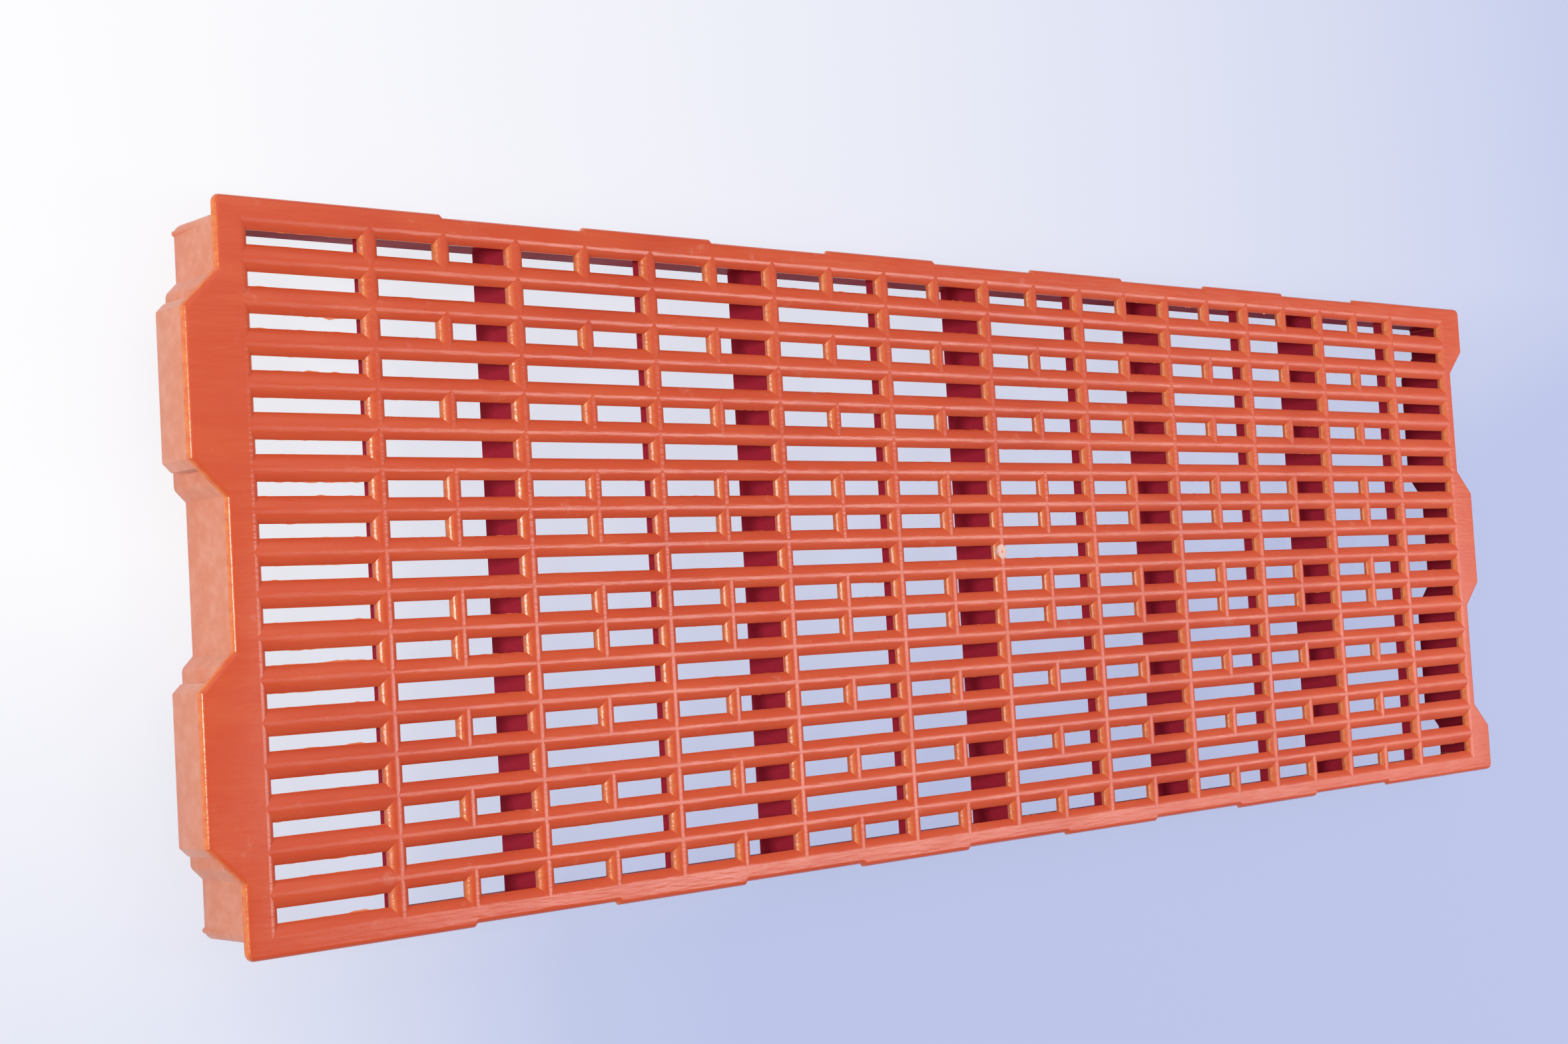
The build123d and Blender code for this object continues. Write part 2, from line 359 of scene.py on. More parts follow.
def corner_radii(corners, rounding, least):
    """The outer rounding at the four plan corners of the panel and a small one elsewhere."""
    far = np.abs(corners[:, 1]) > np.abs(corners[:, 1]).max() - 1e-6
    ends = (corners[:, 0] < corners[:, 0].min() + 0.021) | (corners[:, 0] > corners[:, 0].max() - 1e-6)
    return np.where(far & ends, rounding, least)


def skirt_corners(rim, skirt):
    """Plan corners of the skirt, anticlockwise from the near corner of the tongue end, with radii."""
    left_x = TIP_X + rim.tongue_reach + skirt.end_setback
    left = end_points(left_x, left_x - skirt.bulge, rim.root_near + skirt.bulge_root,
                      rim.root_far - skirt.bulge_root)
    right = end_points(RIGHT_X, RIGHT_X - rim.notch_reach, rim.root_near - rim.near_gap,
                       rim.root_far + rim.far_gap) - np.array([skirt.notch_setback, 0])
    y = HALF_WIDTH - skirt.setback
    mirror = np.array([1, -1])
    right_x = RIGHT_X - skirt.notch_setback
    corners = np.vstack([[(left_x, -y)], [(right_x, -y)], right[::-1] * mirror, right,
                         [(right_x, y)], [(left_x, y)], left[::-1], left * mirror])
    radii = corner_radii(corners, rim.corner, 0.0006)
    bulged = corners[:, 0] < left_x - 0.001
    return corners, np.where(bulged, skirt.bulge_rounding, radii)


def border_loop(deck):
    """Outer edge of all the cells, anticlockwise from the near corner of the tongue end."""
    ribs = rib_x(deck, np.arange(1, deck.ribs + 1))
    dividers = divider_x(deck, np.arange(2, deck.ribs + 1))
    reach = deck.end_slot_length + deck.rib_width
    x = np.sort(np.concatenate([ribs, dividers, [ribs[0] - reach, ribs[-1] + reach]]))
    y = (np.arange(deck.rows + 1) - deck.rows / 2) * deck.row_pitch
    near = np.column_stack([x[:-1], np.full(len(x) - 1, y[0])])
    right = np.column_stack([np.full(len(y) - 1, x[-1]), y[:-1]])
    far = np.column_stack([x[:0:-1], np.full(len(x) - 1, y[-1])])
    left = np.column_stack([np.full(len(y) - 1, x[0]), y[:0:-1]])
    return np.vstack([near, right, far, left])


def round_place(loop, low, high):
    """Place of each loop point round a rectangle, from 0 to 4, by its nearest point on the rectangle."""
    near = np.clip(loop, low, high)
    share = (near - low) / (high - low)
    on = np.isclose
    return np.select([on(near[:, 1], low[1]), on(near[:, 0], high[0]), on(near[:, 1], high[1])],
                     [share[:, 0], 1 + share[:, 1], 3 - share[:, 0]], 4 - share[:, 1])


def at_places(places, low, high):
    """Points of a rectangle at places from 0 to 4 round it."""
    side, share = np.floor(places), (places % 1)[:, None]
    corners = np.array([low, (high[0], low[1]), high, (low[0], high[1]), low])
    start = corners[side.astype(int)]
    return start + share * (corners[side.astype(int) + 1] - start)


def pushed_out(loop, low, high):
    """A rectangular loop with its four sides moved out to a larger rectangle."""
    on_low, on_high = np.isclose(loop, loop.min(0)), np.isclose(loop, loop.max(0))
    return np.where(on_low, low, np.where(on_high, high, loop))


def zip_loops(shape, outer, outer_places, inner, inner_places, z):
    """Flat strip between two loops at one height: both are walked by their places round one rectangle,
    and each side is joined to the last point passed on the other loop."""
    a, b = np.append(outer_places, 4.0), np.append(inner_places, 4.0)
    count_a, count_b = len(outer), len(inner)
    first = np.arange(count_a)
    beside = np.clip(np.searchsorted(b[:-1], a[1:], side="left") - 1, 0, count_b - 1)
    outer_faces = np.column_stack([first, (first + 1) % count_a, count_a + beside])
    second = np.arange(count_b)
    beside = np.clip(np.searchsorted(a[:-1], b[1:], side="right") - 1, 0, count_a)
    beside[-1] = count_a
    inner_faces = np.column_stack([beside % count_a, count_a + (second + 1) % count_b, count_a + second])
    shape.add(np.vstack([at_height(outer, z), at_height(inner, z)]), np.vstack([outer_faces, inner_faces]))


def flat_surround(shape, outline, border, low, high, z, z_border):
    """Flat face from an outline to the cells' border by way of a rectangle between the two, which has
    a point beside every point of both; it steps from one height to the other on the rectangle."""
    outline_places = round_place(outline, low, high)
    border_places = round_place(pushed_out(border, low, high), low, high)
    places = np.unique(np.concatenate([outline_places, border_places]).round(7))
    middle = at_places(places, low, high)
    zip_loops(shape, outline, outline_places.round(7), middle, places, z)
    if z != z_border:
        shape.add_loops(np.stack([at_height(middle, z), at_height(middle, z_border)]))
    zip_loops(shape, middle, places, border, border_places.round(7), z_border)


def smooth_noise(rng, shape, width):
    """Random values smoothed along the last axis by a bell of the given width, from -1 to 1."""
    values = rng.standard_normal((*shape[:-1], shape[-1] + 6 * width))
    bell = np.exp(-0.5 * (np.arange(-3 * width, 3 * width + 1) / width) ** 2)
    smooth = np.apply_along_axis(lambda line: np.convolve(line, bell, "valid"), -1, values)
    return smooth[..., :shape[-1]] / np.abs(smooth).max()


def make_piece(name, shape, material, sharp_angle):
    """Mesh object from a gathered shape: doubles merged, faces outward, smooth below the sharp angle."""
    mesh = bpy.data.meshes.new(name)
    mesh.from_pydata(np.vstack(shape.points).tolist(), [], shape.faces)
    form = bmesh.new()
    form.from_mesh(mesh)
    bmesh.ops.remove_doubles(form, verts=form.verts, dist=2e-6)
    bmesh.ops.dissolve_degenerate(form, edges=form.edges, dist=1e-7)
    bmesh.ops.recalc_face_normals(form, faces=form.faces)
    form.to_mesh(mesh)
    form.free()
    mesh.shade_smooth()
    mesh.set_sharp_from_angle(angle=sharp_angle)
    mesh.materials.append(material)
    piece = bpy.data.objects.new(name, mesh)
    bpy.context.scene.collection.objects.link(piece)
    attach(piece, "root")
    return piece


def colour_inside(piece, material):
    """Gives a wall's inward faces a second material, here the painted-shade crimson: those whose normal
    points back over the panel.
    """
    piece.data.materials.append(material)
    count = len(piece.data.polygons)
    centre, normal = np.empty(count * 3), np.empty(count * 3)
    piece.data.polygons.foreach_get("center", centre)
    piece.data.polygons.foreach_get("normal", normal)
    centre, normal = centre.reshape(-1, 3), normal.reshape(-1, 3)
    across = np.abs(centre[:, 1]) > HALF_WIDTH * 0.93
    inward = np.where(across, -np.sign(centre[:, 1]) * normal[:, 1], -np.sign(centre[:, 0]) * normal[:, 0])
    piece.data.polygons.foreach_set("material_index", (inward > 0.3).astype(np.int32))


def mark_left_flanks(piece):
    """Face attribute from 0 to 1 by how far a face of the deck turns towards -X; it masks the painted light
    on those faces.
    """
    count = len(piece.data.polygons)
    normal = np.empty(count * 3)
    piece.data.polygons.foreach_get("normal", normal)
    share = np.clip((-normal.reshape(-1, 3)[:, 0] - 0.35) / 0.4, 0, 1)
    flank = piece.data.attributes.new("flank", "FLOAT", "FACE")
    flank.data.foreach_set("value", share.astype(np.float32))


def deck_shape(deck, rim, skirt):
    """The deck and rim as one closed skin: slot cells in the middle, the flat rim face, the rounded
    edge with its parting flash, the underside of the rim and the underside of the deck."""
    shape = Shape()
    cells = cell_table(deck)
    split = np.isnan(cells[:, 8])
    for group in (cells[split], cells[~split]):
        loops = cell_rings(deck, group)
        levels, points = loops.shape[1:3]
        faces = grid_faces(levels, points)
        first = np.arange(len(group))[:, None, None] * levels * points
        shape.add(loops, (faces[None] + first).reshape(-1, 4))
    border = border_loop(deck)
    corners = outline_corners(deck, rim)
    radii = corner_radii(corners, rim.corner, 0.0008)
    steps = 12
    turn = np.linspace(0, np.pi / 2, 15)
    r = rim.rounding
    base = TOP_Z - rim.thickness
    section = [(r - r * np.sin(t), TOP_Z - r + r * np.cos(t)) for t in turn]
    section += [(0.0, base + 0.0006), (0.0, base + 0.0001), (0.0002, base)]
    loops = swept_section(corners, radii, section, steps)
    rng = np.random.default_rng(5)
    lip = 0.4 + 0.6 * smooth_noise(rng, (loops.shape[1],), 3)
    out = unit(loops[-3, :, :2] - plan_loop(corners, radii, 0.002, steps))
    loops[-3, :, :2] += out * (rim.flash * np.clip(lip, 0, 1))[:, None]
    shape.add_loops(loops)
    margin = 0.002
    low, high = border.min(0) - margin, border.max(0) + margin
    flat_surround(shape, loops[0, :, :2], border, low, high, TOP_Z, TOP_Z)
    inside = skirt.setback + skirt.wall / 4
    low = np.array([TIP_X + rim.tongue_reach + skirt.wall, inside - HALF_WIDTH])
    high = np.array([RIGHT_X - rim.notch_reach - skirt.wall, HALF_WIDTH - inside])
    flat_surround(shape, loops[-1, :, :2], border, low, high, base, TOP_Z - deck.thickness)
    return shape


def skirt_shape(rim, skirt):
    """Skirt wall: a section with a rounded standing edge carried round the plan loop; the tongue-side
    wall leans in towards its standing edge."""
    corners, radii = skirt_corners(rim, skirt)
    top = TOP_Z - rim.thickness + 0.0003
    w = skirt.wall
    e = 0.0005
    section = [(0.0, top), (0.0, 0.012), (0.0, e), (e * 0.3, e * 0.3), (e, 0.0), (w - e, 0.0),
               (w - e * 0.3, e * 0.3), (w, e), (w, top)]
    loops = swept_section(corners, radii, section, 10)
    left = loops[..., 0] < TIP_X + rim.tongue_reach + 0.004
    loops[..., 0] += left * skirt.draft * (1 - loops[..., 2] / top)
    shape = Shape()
    shape.add_loops(loops, closed=True)
    return shape


def prism(section, start, end):
    """A section of (x, z) pairs run along Y from start to end, with flat ends."""
    section = np.asarray(section)
    count = len(section)
    loops = np.stack([np.column_stack([section[:, 0], np.full(count, y), section[:, 1]])
                      for y in (start, end)])
    faces = grid_faces(2, count).tolist()
    return loops, faces + [list(range(count)), list(range(count, 2 * count))]


def web_shape(deck, skirt):
    """Cross webs under the ribs: slightly tapered, with a fillet under the deck."""
    shape = Shape()
    top = TOP_Z - deck.thickness
    reach = HALF_WIDTH - skirt.setback - skirt.wall / 2
    turn = np.linspace(0, np.pi / 2, 6)
    f = skirt.fillet
    for number in range(1, deck.ribs + 1):
        x = float(rib_x(deck, number))
        bottom = skirt.web_lift if number % 2 == 0 else TOP_Z - skirt.shallow_web
        half_top, half_bottom = skirt.web / 2, skirt.web / 2 - 0.0002
        side = [(half_bottom - 0.0003, bottom), (half_bottom, bottom + 0.0003)]
        side += [(half_top + f - f * np.cos(t), top - f + f * np.sin(t)) for t in turn]
        side.append((half_top + f, top + 0.0006))
        side = np.array(side)
        section = np.vstack([side, side[::-1] * np.array([-1, 1])]) + np.array([x, 0])
        loops, faces = prism(section, -reach, reach)
        points = loops.reshape(-1, 3)
        shape.points.append(points)
        shape.faces += [[i + shape.count for i in face] for face in faces]
        shape.count += len(points)
    return shape


def box_shape(rim, skirt):
    """Boxes behind the tongues: a wall ring with chamfered corners, open below."""
    shape = Shape()
    near = rim.root_near + rim.tongue_reach
    far = rim.root_far - rim.tongue_reach
    c = skirt.box_chamfer
    wall_x = TIP_X + rim.tongue_reach + skirt.end_setback - skirt.bulge + 0.0012
    corners = np.array([(wall_x, near - c), (wall_x, far + c), (TIP_X + c, far + c), (TIP_X, far),
                        (TIP_X, near), (TIP_X + c, near - c)])
    radii = np.full(len(corners), 0.0009)
    bottom = TOP_Z - skirt.box_depth
    top = TOP_Z - rim.thickness + 0.0003
    w = skirt.box_wall
    e = 0.0004
    section = [(0.0, top), (0.0, bottom + e), (e * 0.3, bottom + e * 0.3), (e, bottom), (w - e, bottom),
               (w - e * 0.3, bottom + e * 0.3), (w, bottom + e), (w, top)]
    loops = swept_section(corners, radii, section, 6)
    shape.add_loops(loops, closed=True)
    shape.add_loops(loops * np.array([1, -1, 1]), closed=True)
    return shape


def bead_shape(rim, skirt):
    """Tapered half-round beads on the tongue-side wall: circles that shrink with height."""
    shape = Shape()
    turn = np.linspace(0, 2 * np.pi, 20, endpoint=False)
    share = np.linspace(0, 1, 12)
    radius = 0.0003 + (skirt.bead_radius - 0.0003) * (1 - share)
    z = share * skirt.bead_height
    lean = skirt.draft * (1 - z / (TOP_Z - rim.thickness))
    x = TIP_X + rim.tongue_reach + skirt.end_setback + 0.0004 + lean[:, None] + radius[:, None] * np.cos(turn)
    for side in (1, -1):
        y = side * (HALF_WIDTH - skirt.setback - skirt.bead_setback) + radius[:, None] * np.sin(turn)
        loops = np.stack([x, y, np.broadcast_to(z[:, None], x.shape)], -1)
        count = shape.count
        shape.add_loops(loops)
        shape.faces += [list(range(count, count + 20)), list(range(count + 11 * 20, count + 12 * 20))]
    return shape


def flash_shape(deck):
    """Thin ragged flash on the slot edges: three-sided fins whose reach into the slot follows smoothed
    noise, largest in the first column."""
    rng = np.random.default_rng(11)
    cells = cell_table(deck)
    first_rib = rib_x(deck, 1)
    samples = 72
    fins = []
    for opening, sign in ((6, 1), (7, -1)):
        start = np.column_stack([cells[:, 4], cells[:, opening]])
        end = np.column_stack([cells[:, 5], cells[:, opening]])
        fins.append((start, end, np.full(len(cells), sign)))
    start = np.vstack([f[0] for f in fins])
    end = np.vstack([f[1] for f in fins])
    sign = np.concatenate([f[2] for f in fins])
    in_first = start[:, 0] < first_rib
    row = np.abs(start[:, 1]) < 0.07
    amount = np.where(in_first, np.where(row, 0.0016, 0.0011), 0.00055)
    kept = in_first | (rng.random(len(start)) < 0.45)
    start, end, sign, amount = start[kept], end[kept], sign[kept], amount[kept]
    share = np.linspace(0, 1, samples)[None, :, None]
    line = start[:, None] + (end - start)[:, None] * share
    rough = smooth_noise(rng, (len(start), samples), 2)
    patch = smooth_noise(rng, (len(start), samples), 9)
    reach = amount[:, None] * (0.12 + np.clip(rough, 0, 1) * np.clip(patch + 0.25, 0, 1) * 2.2)
    reach *= np.sin(np.linspace(0, np.pi, samples))[None, :] ** 0.3 + 0.02
    z = TOP_Z - deck.crown_height - 0.0003
    inner = -0.0003
    section = [(inner * np.ones_like(reach), z + 0.00015), (reach, z - 0.00005),
               (inner * np.ones_like(reach), z - 0.0004)]
    corners = [np.stack([line[..., 0], line[..., 1] + sign[:, None] * d, np.full_like(d, h)], -1)
               for d, h in section]
    loops = np.stack(corners, 2)
    faces = grid_faces(samples, 3)
    first = np.arange(len(start))[:, None, None] * samples * 3
    shape = Shape()
    shape.add(loops, (faces[None] + first).reshape(-1, 4))
    caps = np.array([[0, 1, 2], [samples * 3 - 3, samples * 3 - 2, samples * 3 - 1]])
    shape.faces += (caps[None] + first).reshape(-1, 3).tolist()
    return shape


def gate_shape(deck):
    """Cut gate on the middle of the middle rib: a low disc with a ragged rim and a dimple, as a height
    over polar coordinates."""
    shape = Shape()
    rng = np.random.default_rng(3)
    around = 48
    turn = np.linspace(0, 2 * np.pi, around, endpoint=False)
    share = np.linspace(0.02, 1, 12)[:, None]
    ragged = 1 + 0.10 * smooth_noise(rng, (around,), 3) + 0.05 * np.cos(2 * turn)
    radius = 0.0045 * share * (1 + (ragged - 1) * share)
    height = 0.0006 * (1 - share ** 8) - 0.0007 * np.exp(-(share / 0.25) ** 2)
    height = height + 0.00008 * smooth_noise(rng, (12, around), 2)
    x = float(rib_x(deck, (deck.ribs + 1) // 2)) - 0.0006 + radius * np.cos(turn)
    y = radius * np.sin(turn) * 1.15
    top = np.stack([x, y, TOP_Z - 0.0002 + height], -1)
    base = top[-1:] * np.array([1, 1, 0]) + np.array([0, 0, TOP_Z - 0.0035])
    shape.add_loops(np.concatenate([top, base]))
    last = 12 * around
    shape.faces += [list(range(around)), list(range(last, last + around))]
    return shape


def add_node(tree, kind, settings=None, links=None):
    """Adds a node, sets its properties and sockets, and links sockets to other nodes' outputs."""
    node = tree.nodes.new(kind)
    for key, value in (settings or {}).items():
        if isinstance(key, str) and hasattr(node, key) and key not in node.inputs:
            setattr(node, key, value)
        else:
            node.inputs[key].default_value = value
    for key, source in (links or {}).items():
        tree.links.new(source, node.inputs[key])
    return node


def new_material(name):
    material = bpy.data.materials.new(name)
    material.use_nodes = True
    material.node_tree.nodes.clear()
    return material, material.node_tree


def finish_material(tree, shader):
    add_node(tree, "ShaderNodeOutputMaterial", links={"Surface": shader})


def mixed_colour(tree, share, first, second):
    """Mix of two colours by a share; each is a colour or another node's output."""
    node = add_node(tree, "ShaderNodeMix", {"data_type": "RGBA"}, {0: share})
    for socket, colour in ((6, first), (7, second)):
        if isinstance(colour, bpy.types.NodeSocket):
            tree.links.new(colour, node.inputs[socket])
        else:
            node.inputs[socket].default_value = (*colour, 1.0)
    return node.outputs[2]


def noise(tree, vector, scale, detail, roughness=0.5):
    return add_node(tree, "ShaderNodeTexNoise", {"Scale": scale, "Detail": detail, "Roughness": roughness},
                    {"Vector": vector}).outputs[0]


def ranged(tree, value, low, high, to_low, to_high):
    return add_node(tree, "ShaderNodeMapRange", {"From Min": low, "From Max": high, "To Min": to_low,
                                                 "To Max": to_high}, {"Value": value}).outputs[0]


def maths(tree, operation, *values):
    """Math node on numbers or other nodes' outputs."""
    node = add_node(tree, "ShaderNodeMath", {"operation": operation})
    for socket, value in enumerate(values):
        if isinstance(value, bpy.types.NodeSocket):
            tree.links.new(value, node.inputs[socket])
        else:
            node.inputs[socket].default_value = value
    return node.outputs[0]


def polypropylene(name, body, light, deep, scuff_and_sheen, scuff_and_sheen_share, gloss, lit_side_tone=None, sheen=0.0, specular=0.5):
    """Injection-moulded polypropylene: long faint flow streaks, a fine mould-face grain, chalky patches
    by a given share (scuffs of wear, and on the walls painted light too), small waves in the gloss, a face
    that gets less glossy towards +X and, where the flank attribute says so, a painted lighter, yellower tone
    for the light on faces turned towards -X."""
    found = bpy.data.materials.get(name)
    if found:
        return found
    material, tree = new_material(name)
    place = add_node(tree, "ShaderNodeTexCoord").outputs["Object"]
    # Flow streaks, about 60 mm long and 8 mm wide, run along the slats
    stretched = add_node(tree, "ShaderNodeMapping", {"Scale": (1.0, 7.0, 7.0)}, {"Vector": place}).outputs[0]
    blotches = noise(tree, place, 9.0, 2.0)
    streaks = ranged(tree, noise(tree, stretched, 16.0, 3.0, 0.55), 0.42, 0.75, 0.0, 0.6)
    colour = mixed_colour(tree, streaks, body, light)
    colour = mixed_colour(tree, ranged(tree, blotches, 0.5, 0.8, 0.0, 0.5), colour, deep)
    # Scuffs a few millimetres across, sparse in the middle and ragged at the edge; on the walls these chalky
    # patches are painted light as well
    scuff_and_sheen_mask = ranged(tree, noise(tree, place, 55.0, 6.0, 0.7), 0.62, 0.76, 0.0, scuff_and_sheen_share)
    colour = mixed_colour(tree, scuff_and_sheen_mask, colour, scuff_and_sheen)
    # Painted light: faces turned towards -X, by the flank attribute and a ragged noise, get a lighter,
    # yellower tone in place of the light on them.
    if lit_side_tone:
        flank = add_node(tree, "ShaderNodeAttribute", {"attribute_name": "flank"}).outputs["Fac"]
        ragged = ranged(tree, noise(tree, place, 260.0, 3.0), 0.35, 0.65, 0.45, 1.0)
        colour = mixed_colour(tree, maths(tree, "MULTIPLY", flank, ragged), colour, lit_side_tone)
    apart = add_node(tree, "ShaderNodeSeparateXYZ", links={0: place})
    duller = ranged(tree, apart.outputs["X"], -0.3, 0.1, 0.0, 0.09)
    rough = ranged(tree, noise(tree, place, 30.0, 4.0), 0.3, 0.7, *gloss)
    rough = maths(tree, "ADD", rough, duller)
    waves = add_node(tree, "ShaderNodeBump", {"Strength": 0.3, "Distance": 0.0006},
                     {"Height": noise(tree, stretched, 60.0, 2.0)})
    grain = add_node(tree, "ShaderNodeBump", {"Strength": 0.12, "Distance": 0.0002},
                     {"Height": noise(tree, place, 900.0, 2.0), "Normal": waves.outputs[0]})
    shader = add_node(tree, "ShaderNodeBsdfPrincipled",
                      {"IOR": 1.49, "Sheen Weight": sheen, "Specular IOR Level": specular},
                      {"Base Color": colour, "Roughness": rough, "Normal": grain.outputs[0]})
    finish_material(tree, shader.outputs[0])
    return material


def face_plastic(finish):
    return polypropylene("moulded_polypropylene", finish.body, finish.body_light, finish.body_deep,
                         finish.scuff_and_sheen, 0.3, (0.2, 0.3), lit_side_tone=finish.painted_light_tone)


def painted_light_wall_plastic(finish):
    """The drafted outer walls get a pale, chalky tone and more chalky patches: painted light and reflection
    for the strongly lit end walls.
    """
    return polypropylene("drafted_polypropylene_painted_sheen", finish.wall, finish.scuff_and_sheen, finish.body_light,
                         finish.scuff_and_sheen, 0.5, (0.5, 0.6), sheen=0.2)


def shaded_inner_plastic(finish):
    """Inner faces get a darker crimson copy of the moulding: painted shade for the webs and inner walls under
    the deck.
    """
    return polypropylene("inner_polypropylene_painted_shade", finish.inner, finish.inner, finish.inner,
                         finish.inner, 0.0, (0.45, 0.55), specular=0.03)


def thin_flash(finish):
    """Polypropylene flash a few tenths of a millimetre thick; the light that shines through it is painted
    into its colour as a yellower orange.
    """
    material, tree = new_material("polypropylene_flash")
    place = add_node(tree, "ShaderNodeTexCoord").outputs["Object"]
    colour = mixed_colour(tree, noise(tree, place, 300.0, 2.0), finish.painted_light_tone, finish.body)
    shader = add_node(tree, "ShaderNodeBsdfPrincipled", {"Roughness": 0.35, "IOR": 1.49},
                      {"Base Color": colour})
    finish_material(tree, shader.outputs[0])
    return material


def cut_gate(finish):
    """Sprue gate twisted off: polypropylene whitened by stress, with a rough face."""
    material, tree = new_material("polypropylene_stress_whitened")
    place = add_node(tree, "ShaderNodeTexCoord").outputs["Object"]
    crumbs = noise(tree, place, 700.0, 4.0)
    colour = mixed_colour(tree, ranged(tree, crumbs, 0.45, 0.65, 0.0, 0.8), finish.gate, finish.scuff_and_sheen)
    bump = add_node(tree, "ShaderNodeBump", {"Strength": 0.5, "Distance": 0.0003}, {"Height": crumbs})
    shader = add_node(tree, "ShaderNodeBsdfPrincipled", {"Roughness": 0.55, "IOR": 1.49},
                      {"Base Color": colour, "Normal": bump.outputs[0]})
    finish_material(tree, shader.outputs[0])
    return material


def clamped(tree, value, low, high):
    return maths(tree, "MINIMUM", maths(tree, "MAXIMUM", value, low), high)


def pale_floor(finish):
    """Matt floor that shows its own pale colour to the camera and to reflections, with a share of
    real light so that the shadow stays; it turns bluish towards +X and -Y."""
    material, tree = new_material("matt_studio_floor")
    place = add_node(tree, "ShaderNodeTexCoord").outputs["Object"]
    apart = add_node(tree, "ShaderNodeSeparateXYZ", links={0: place})
    along = maths(tree, "MULTIPLY_ADD", apart.outputs["X"], 0.55, 0.36)
    along = clamped(tree, along, 0.0, 1.0)
    corner = clamped(tree, maths(tree, "MULTIPLY_ADD", apart.outputs["Y"], -1.6, 0.03), 0.0, 0.4)
    near = clamped(tree, maths(tree, "MULTIPLY_ADD", apart.outputs["Y"], -1.5, 0.36), 0.0, 0.36)
    right = clamped(tree, maths(tree, "MULTIPLY_ADD", apart.outputs["X"], 4.0, 2.4), 0.0, 1.0)
    near = maths(tree, "MULTIPLY_ADD", near, right, corner)
    share = maths(tree, "MINIMUM", maths(tree, "ADD", along, near), 1.0)
    colour = mixed_colour(tree, share, finish.floor_white, finish.floor_blue)
    matt = add_node(tree, "ShaderNodeBsdfDiffuse", links={"Color": colour})
    glow = add_node(tree, "ShaderNodeEmission", {"Strength": 1.0}, {"Color": colour})
    path = add_node(tree, "ShaderNodeLightPath")
    seen = maths(tree, "MAXIMUM", path.outputs["Is Camera Ray"], path.outputs["Is Glossy Ray"])
    seen = maths(tree, "MAXIMUM", seen, path.outputs["Is Transmission Ray"])
    both = add_node(tree, "ShaderNodeMixShader", links={0: maths(tree, "MULTIPLY", seen, 0.86),
                                                        1: matt.outputs[0], 2: glow.outputs[0]})
    finish_material(tree, both.outputs[0])
    return material


def settings():
    scene = bpy.context.scene
    return scene.panel_deck, scene.panel_rim, scene.panel_skirt, scene.panel_finish


class PANEL_OT_deck(Operator):
    """Build the slatted deck and its rim"""
    bl_idname = "panel.deck"
    bl_label = "Deck and rim"

    def execute(self, context):
        deck, rim, skirt, finish = settings()
        piece = make_piece("deck_and_rim", deck_shape(deck, rim, skirt), face_plastic(finish), radians(7))
        mark_left_flanks(piece)
        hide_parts(NODE)
        return {"FINISHED"}


class PANEL_OT_skirt(Operator):
    """Build the skirt wall with its beads"""
    bl_idname = "panel.skirt"
    bl_label = "Skirt"

    def execute(self, context):
        deck, rim, skirt, finish = settings()
        piece = make_piece("skirt_wall", skirt_shape(rim, skirt), painted_light_wall_plastic(finish), radians(30))
        colour_inside(piece, shaded_inner_plastic(finish))
        make_piece("wall_beads", bead_shape(rim, skirt), painted_light_wall_plastic(finish), radians(30))
        return {"FINISHED"}


class PANEL_OT_webs(Operator):
    """Build the cross webs under the ribs"""
    bl_idname = "panel.webs"
    bl_label = "Cross webs"

    def execute(self, context):
        deck, rim, skirt, finish = settings()
        make_piece("cross_webs", web_shape(deck, skirt), shaded_inner_plastic(finish), radians(30))
        return {"FINISHED"}


class PANEL_OT_boxes(Operator):
    """Build the boxes behind the tongues"""
    bl_idname = "panel.boxes"
    bl_label = "Tongue boxes"

    def execute(self, context):
        deck, rim, skirt, finish = settings()
        make_piece("tongue_boxes", box_shape(rim, skirt), painted_light_wall_plastic(finish), radians(30))
        return {"FINISHED"}


class PANEL_OT_marks(Operator):
    """Build the moulding marks: slot flash and the cut gate"""
    bl_idname = "panel.marks"
    bl_label = "Moulding marks"

    def execute(self, context):
        deck, rim, skirt, finish = settings()
        make_piece("slot_flash", flash_shape(deck), thin_flash(finish), radians(40))
        make_piece("cut_gate", gate_shape(deck), cut_gate(finish), radians(40))
        return {"FINISHED"}


def add_area(name, place, target, width, height, power, colour):
    lamp = bpy.data.lights.new(name, "AREA")
    lamp.shape = "RECTANGLE"
    lamp.size = width
    lamp.size_y = height
    lamp.energy = power
    lamp.color = colour
    holder = bpy.data.objects.new(name, lamp)
    holder.location = place
    aim = Vector(target) - Vector(place)
    holder.rotation_euler = aim.to_track_quat("-Z", "Y").to_euler()
    bpy.context.scene.collection.objects.link(holder)


def add_camera():
    """Camera at the photograph's viewing angle to the walking face."""
    camera = bpy.data.cameras.new("view")
    camera.sensor_width = 36.0
    camera.lens = 52.37
    camera.shift_y = -0.0078
    right = Vector((0.7412, -0.0582, 0.6688))
    up = Vector((0.0076, 0.9969, 0.0783))
    forward = Vector((0.6713, 0.0529, -0.7393))
    holder = bpy.data.objects.new("view", camera)
    turn = Matrix((right, up, -forward)).transposed().to_4x4()
    holder.matrix_world = Matrix.Translation((-1.1690, -0.0458, 1.1149)) @ turn
    bpy.context.scene.collection.objects.link(holder)
    bpy.context.scene.camera = holder


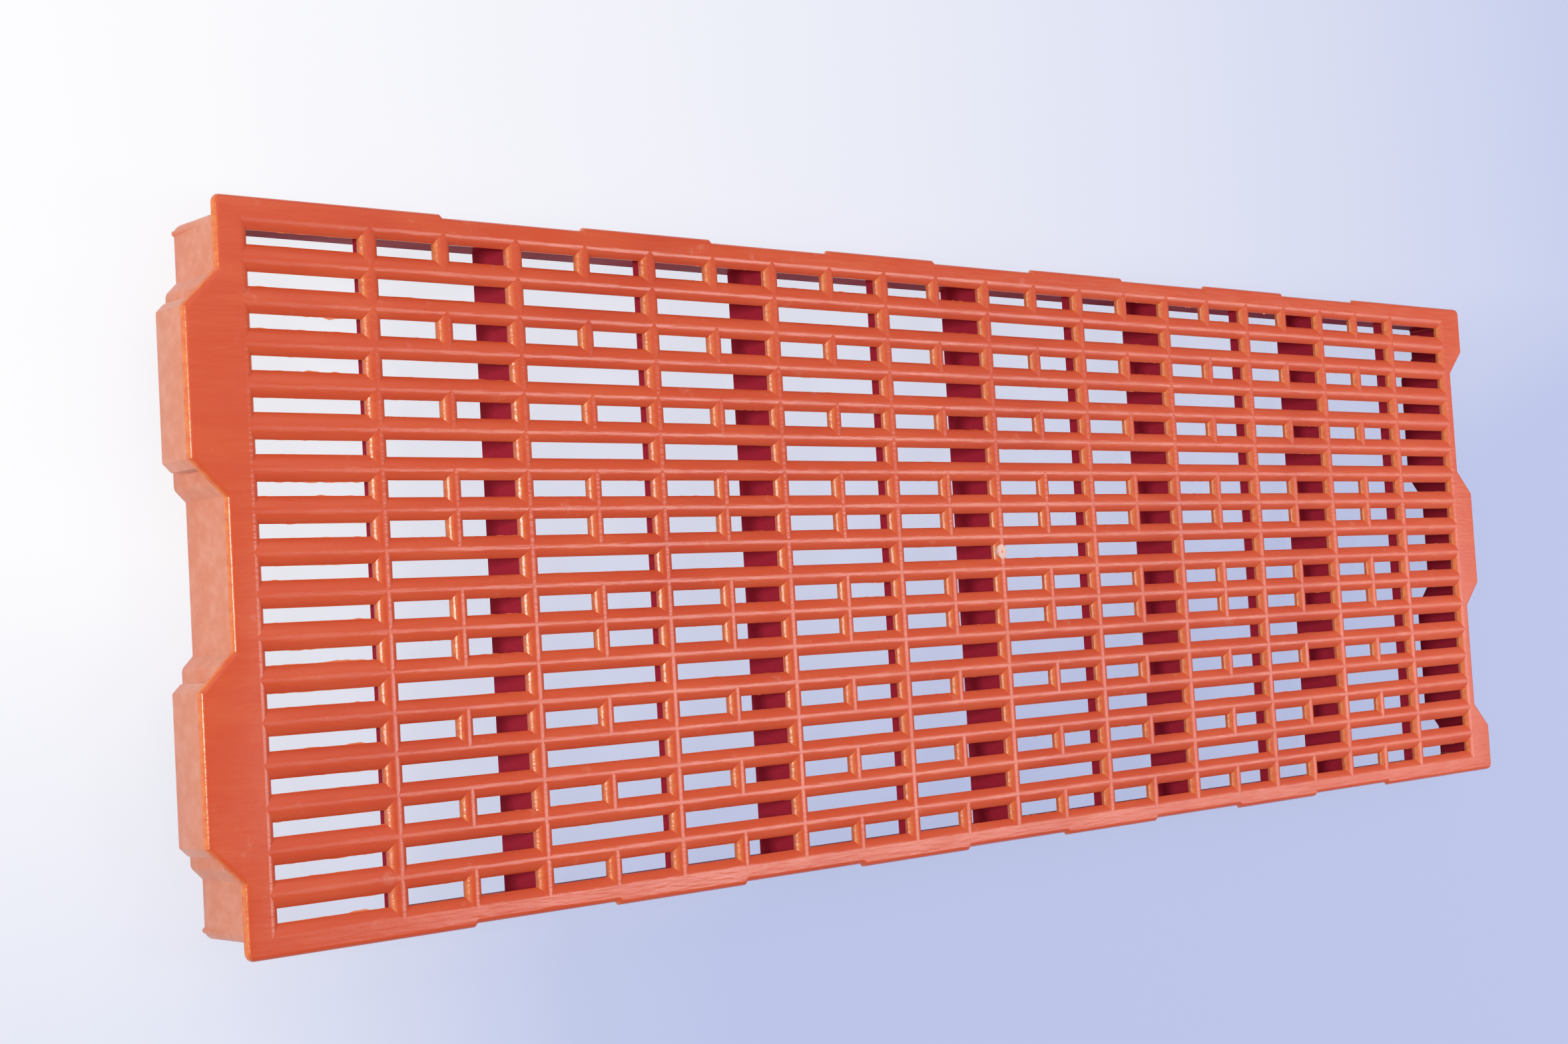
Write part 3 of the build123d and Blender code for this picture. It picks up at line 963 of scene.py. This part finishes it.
class PANEL_OT_stage(Operator):
    """Set the floor, the lamps, the surroundings and the camera"""
    bl_idname = "panel.stage"
    bl_label = "Stage"

    def execute(self, context):
        finish = context.scene.panel_finish
        half = 12.0
        plane = bpy.data.meshes.new("floor")
        plane.from_pydata([(-half, -half, 0), (half, -half, 0), (half, half, 0), (-half, half, 0)], [],
                          [(0, 1, 2, 3)])
        plane.materials.append(pale_floor(finish))
        floor = bpy.data.objects.new("floor", plane)
        floor.location.z = -0.0002
        context.scene.collection.objects.link(floor)
        world = bpy.data.worlds.new("surroundings")
        world.use_nodes = True
        world.node_tree.nodes["Background"].inputs["Color"].default_value = (0.95, 0.95, 1.0, 1.0)
        world.node_tree.nodes["Background"].inputs["Strength"].default_value = 0.34
        context.scene.world = world
        add_area("long_window", (2.18, -0.23, 2.0), (2.18, -0.23, 0.0), 2.85, 0.75, 42.0, (1.0, 0.97, 0.96))
        add_area("left_window", (-2.4, 0.05, 1.5), (0.0, 0.0, 0.0), 0.4, 0.5, 30.0, (1.0, 0.98, 0.93))
        add_area("overhead", (-0.2, 1.6, 2.2), (0.0, 0.0, 0.0), 3.0, 2.5, 18.0, (1.0, 1.0, 1.0))
        add_camera()
        context.scene.view_settings.view_transform = "Standard"
        return {"FINISHED"}


class VIEW3D_PT_floor_panel(Panel):
    bl_label = "Floor panel"
    bl_space_type = "VIEW_3D"
    bl_region_type = "UI"
    bl_category = "Floor panel"

    def draw(self, context):
        for step in STEPS:
            self.layout.operator(step.bl_idname)
        for group in ("panel_deck", "panel_rim", "panel_skirt", "panel_finish"):
            values = getattr(context.scene, group)
            box = self.layout.box()
            for key in values.__annotations__:
                box.prop(values, key)


STEPS = (PANEL_OT_deck, PANEL_OT_skirt, PANEL_OT_webs, PANEL_OT_boxes, PANEL_OT_marks, PANEL_OT_stage)
GROUPS = {"panel_deck": DeckSettings, "panel_rim": RimSettings, "panel_skirt": SkirtSettings,
          "panel_finish": FinishSettings}


def register():
    for name, group in GROUPS.items():
        bpy.utils.register_class(group)
        setattr(bpy.types.Scene, name, PointerProperty(type=group))
    for step in STEPS:
        bpy.utils.register_class(step)
    bpy.utils.register_class(VIEW3D_PT_floor_panel)


def unregister():
    bpy.utils.unregister_class(VIEW3D_PT_floor_panel)
    for step in reversed(STEPS):
        bpy.utils.unregister_class(step)
    for name, group in GROUPS.items():
        delattr(bpy.types.Scene, name)
        bpy.utils.unregister_class(group)


def main():
    register()
    bpy.ops.panel.deck()
    bpy.ops.panel.skirt()
    bpy.ops.panel.webs()
    bpy.ops.panel.boxes()
    bpy.ops.panel.marks()
    bpy.ops.panel.stage()


if __name__ == "__main__":
    main()
